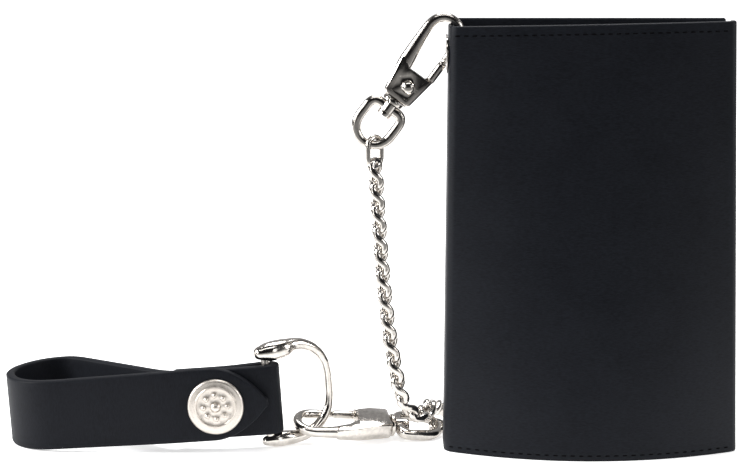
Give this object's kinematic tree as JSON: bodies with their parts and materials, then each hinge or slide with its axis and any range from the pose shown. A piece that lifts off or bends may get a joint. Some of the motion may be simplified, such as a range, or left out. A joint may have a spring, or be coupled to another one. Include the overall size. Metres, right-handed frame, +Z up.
{
  "type": "chain wallet",
  "caption": "Standing black leather trifold wallet with a spine eyelet, a swivel snap hook at each end of a curb chain, and a snap-closed leather belt strap on a D ring.",
  "frame": {"origin": "middle of the lower edge of the back leather, on the surface the wallet stands on", "axes": "+Z up the standing wallet, +X towards its right edge seen from the front panel, +Y from the front panel to the back"},
  "size_m": [0.1919, 0.0577, 0.1165],
  "materials": {
    "wallet_leather": "smooth black cowhide with a soft sheen",
    "pocket_leather": "thin black leather",
    "lining_cloth": "fine black twill",
    "clear_window": "clear soft plastic",
    "strap_leather": "thick black leather with a low sheen",
    "spring_steel": "plain spring wire",
    "chain_nickel": "bright nickel plate on steel wire",
    "fitting_nickel": "bright nickel plate",
    "cast_nickel": "polished nickel plate on zinc casting"
  },
  "bodies": {
    "back_flap": {"cover_back": "wallet_leather", "eyelet_flange": "fitting_nickel", "eyelet_washer": "fitting_nickel", "back_lining": "lining_cloth", "id_frame": "pocket_leather", "id_window": "clear_window"},
    "front_panel": {"cover_front": "wallet_leather", "bill_divider": "pocket_leather", "front_pocket_1": "pocket_leather", "front_pocket_2": "pocket_leather", "front_pocket_3": "pocket_leather"},
    "inner_flap": {"cover_inner": "wallet_leather", "inner_pocket_1": "pocket_leather", "inner_pocket_2": "pocket_leather", "inner_pocket_3": "pocket_leather"},
    "upper_hook": {"upper_body": "cast_nickel", "upper_gate_pin": "cast_nickel", "upper_gate_spring": "spring_steel", "upper_washer": "cast_nickel", "upper_swivel_post": "cast_nickel"},
    "upper_gate": {"upper_gate": "cast_nickel"},
    "upper_eye": {"upper_eye": "cast_nickel"},
    "link_01": {"link_01": "chain_nickel"},
    "link_02": {"link_02": "chain_nickel"},
    "link_03": {"link_03": "chain_nickel"},
    "link_04": {"link_04": "chain_nickel"},
    "link_05": {"link_05": "chain_nickel"},
    "link_06": {"link_06": "chain_nickel"},
    "link_07": {"link_07": "chain_nickel"},
    "link_08": {"link_08": "chain_nickel"},
    "link_09": {"link_09": "chain_nickel"},
    "link_10": {"link_10": "chain_nickel"},
    "link_11": {"link_11": "chain_nickel"},
    "link_12": {"link_12": "chain_nickel"},
    "link_13": {"link_13": "chain_nickel"},
    "link_14": {"link_14": "chain_nickel"},
    "link_15": {"link_15": "chain_nickel"},
    "link_16": {"link_16": "chain_nickel"},
    "link_17": {"link_17": "chain_nickel"},
    "chain_run_1": {"chain_run_1": "chain_nickel"},
    "chain_run_2": {"chain_run_2": "chain_nickel"},
    "chain_run_3": {"chain_run_3": "chain_nickel"},
    "chain_run_4": {"chain_run_4": "chain_nickel"},
    "lower_eye": {"lower_eye": "cast_nickel"},
    "lower_clasp": {"lower_body": "cast_nickel", "lower_gate_pin": "cast_nickel", "lower_gate_spring": "spring_steel", "lower_washer": "cast_nickel", "lower_swivel_post": "cast_nickel"},
    "lower_gate": {"lower_gate": "cast_nickel"},
    "d_ring": {"d_ring": "cast_nickel"},
    "strap": {"strap": "strap_leather", "snap_stud": "fitting_nickel", "snap_post": "fitting_nickel"},
    "strap_tongue": {"strap_tongue": "strap_leather", "snap_cap": "fitting_nickel", "snap_socket": "fitting_nickel"}
  },
  "joints": [
    {"name": "front_fold", "type": "hinge", "parent": "back_flap", "child": "front_panel", "pos_m": [-0.0372, -0.0126, 0], "axis": [0, 0, -1], "range_deg": [0, 120]},
    {"name": "inner_fold", "type": "hinge", "parent": "front_panel", "child": "inner_flap", "pos_m": [0.0372, -0.0046, 0], "axis": [0, 0, -1], "range_deg": [0, 16.8]},
    {"name": "upper_hook_swing", "type": "hinge", "parent": "back_flap", "child": "upper_hook", "pos_m": [-0.0372, -0.0066, 0.1059], "axis": [0, 1, 0], "range_deg": [0, 25]},
    {"name": "upper_gate_hinge", "type": "hinge", "parent": "upper_hook", "child": "upper_gate", "pos_m": [-0.04831, -0.0066, 0.09715], "axis": [0, -1, 0], "range_deg": [0, 18], "stiffness_Nm_per_rad": 0.002},
    {"name": "upper_swivel", "type": "hinge", "parent": "upper_hook", "child": "upper_eye", "pos_m": [-0.05175, -0.0066, 0.09385], "axis": [0.5948, 0, 0.8039], "range_deg": [0, 270]},
    {"name": "link_01_swing", "type": "hinge", "parent": "upper_eye", "child": "link_01", "pos_m": [-0.0571, -0.0066, 0.08161], "axis": [-1, 0, -0.0005], "range_deg": [-8, 0]},
    {"name": "link_02_swing", "type": "hinge", "parent": "link_01", "child": "link_02", "pos_m": [-0.05688, -0.0066, 0.07698], "axis": [0, -1, 0], "range_deg": [-10, 0]},
    {"name": "link_03_swing", "type": "hinge", "parent": "link_02", "child": "link_03", "pos_m": [-0.05647, -0.0066, 0.07108], "axis": [0, 1, 0], "range_deg": [0, 10]},
    {"name": "link_04_swing", "type": "hinge", "parent": "link_03", "child": "link_04", "pos_m": [-0.05608, -0.0066, 0.0652], "axis": [0, -1, 0], "range_deg": [-10, 0]},
    {"name": "link_05_swing", "type": "hinge", "parent": "link_04", "child": "link_05", "pos_m": [-0.05569, -0.0066, 0.05932], "axis": [0, 1, 0], "range_deg": [0, 10]},
    {"name": "link_06_swing", "type": "hinge", "parent": "link_05", "child": "link_06", "pos_m": [-0.05527, -0.0066, 0.05346], "axis": [0, -1, 0], "range_deg": [-10, 0]},
    {"name": "link_07_swing", "type": "hinge", "parent": "link_06", "child": "link_07", "pos_m": [-0.05478, -0.0066, 0.04762], "axis": [0, 1, 0], "range_deg": [0, 10]},
    {"name": "link_08_swing", "type": "hinge", "parent": "link_07", "child": "link_08", "pos_m": [-0.05421, -0.0066, 0.04177], "axis": [0, -1, 0], "range_deg": [-10, 0]},
    {"name": "link_09_swing", "type": "hinge", "parent": "link_08", "child": "link_09", "pos_m": [-0.05353, -0.00658, 0.03591], "axis": [0, 1, 0], "range_deg": [0, 10]},
    {"name": "link_10_swing", "type": "hinge", "parent": "link_09", "child": "link_10", "pos_m": [-0.05271, -0.00665, 0.03009], "axis": [0, -1, 0], "range_deg": [-10, 0]},
    {"name": "link_11_swing", "type": "hinge", "parent": "link_10", "child": "link_11", "pos_m": [-0.05172, -0.00686, 0.0243], "axis": [0, 1, 0], "range_deg": [0, 10]},
    {"name": "link_12_swing", "type": "hinge", "parent": "link_11", "child": "link_12", "pos_m": [-0.05055, -0.00691, 0.01854], "axis": [0, -1, 0], "range_deg": [-10, 0]},
    {"name": "link_13_swing", "type": "hinge", "parent": "link_12", "child": "link_13", "pos_m": [-0.0489, -0.00622, 0.01325], "axis": [0, 1, 0], "range_deg": [0, 8]},
    {"name": "link_14_swing", "type": "hinge", "parent": "link_13", "child": "link_14", "pos_m": [-0.0464, -0.00402, 0.0091], "axis": [0, -1, 0], "range_deg": [-6, 0]},
    {"name": "link_15_swing", "type": "hinge", "parent": "link_14", "child": "link_15", "pos_m": [-0.04377, 0.00004, 0.00734], "axis": [0, -1, 0], "range_deg": [-5, 0]},
    {"name": "link_16_swing", "type": "hinge", "parent": "link_15", "child": "link_16", "pos_m": [-0.04178, 0.00521, 0.00736], "axis": [0, 0, 1], "range_deg": [0, 5]},
    {"name": "link_17_swing", "type": "hinge", "parent": "link_16", "child": "link_17", "pos_m": [-0.04004, 0.01045, 0.00642], "axis": [0, -1, 0], "range_deg": [0, 6]},
    {"name": "chain_run_1_swing", "type": "hinge", "parent": "link_17", "child": "chain_run_1", "pos_m": [-0.03791, 0.01546, 0.0045], "axis": [0, 1, 0], "range_deg": [-6, 0]},
    {"name": "chain_run_2_swing", "type": "hinge", "parent": "chain_run_1", "child": "chain_run_2", "pos_m": [-0.02247, 0.03151, 0.00272], "axis": [0, 0, -1], "range_deg": [0, 2.5]},
    {"name": "chain_run_3_swing", "type": "hinge", "parent": "chain_run_2", "child": "chain_run_3", "pos_m": [-0.00474, 0.02306, 0.00272], "axis": [0, 0, -1], "range_deg": [0, 2.5]},
    {"name": "chain_run_4_swing", "type": "hinge", "parent": "chain_run_3", "child": "chain_run_4", "pos_m": [-0.01777, 0.00872, 0.00272], "axis": [0, 0, 1], "range_deg": [-4, 0]},
    {"name": "lower_eye_swing", "type": "hinge", "parent": "chain_run_4", "child": "lower_eye", "pos_m": [-0.0397, 0.00455, 0.00254], "axis": [-0.2713, 0.916, 0.2956], "range_deg": [-5, 5]},
    {"name": "lower_swivel", "type": "hinge", "parent": "lower_eye", "child": "lower_clasp", "pos_m": [-0.0531, 0.0007, 0.00375], "axis": [-0.9619, -0.2575, 0.0922], "continuous": true},
    {"name": "lower_gate_hinge", "type": "hinge", "parent": "lower_clasp", "child": "lower_gate", "pos_m": [-0.05779, 0.00022, 0.00446], "axis": [0.1721, -0.308, 0.9357], "range_deg": [0, 18], "stiffness_Nm_per_rad": 0.002},
    {"name": "ring_swing", "type": "hinge", "parent": "lower_clasp", "child": "d_ring", "pos_m": [-0.07035, -0.00174, 0.00725], "axis": [0.3933, 0.2458, 0.886], "range_deg": [-6, 6]},
    {"name": "strap_swing", "type": "hinge", "parent": "d_ring", "child": "strap", "pos_m": [-0.0857, -0.0098, 0.01398], "axis": [-0.068, 0, 0.9977], "range_deg": [-25, 25]},
    {"name": "tongue_fold", "type": "hinge", "parent": "strap", "child": "strap_tongue", "pos_m": [-0.14337, -0.0108, 0.01005], "axis": [-0.068, 0, 0.9977], "range_deg": [-80, 0]}
  ],
  "couplings": [
    {"joint": "inner_fold", "follows": "front_fold", "ratio": 0.14}
  ]
}
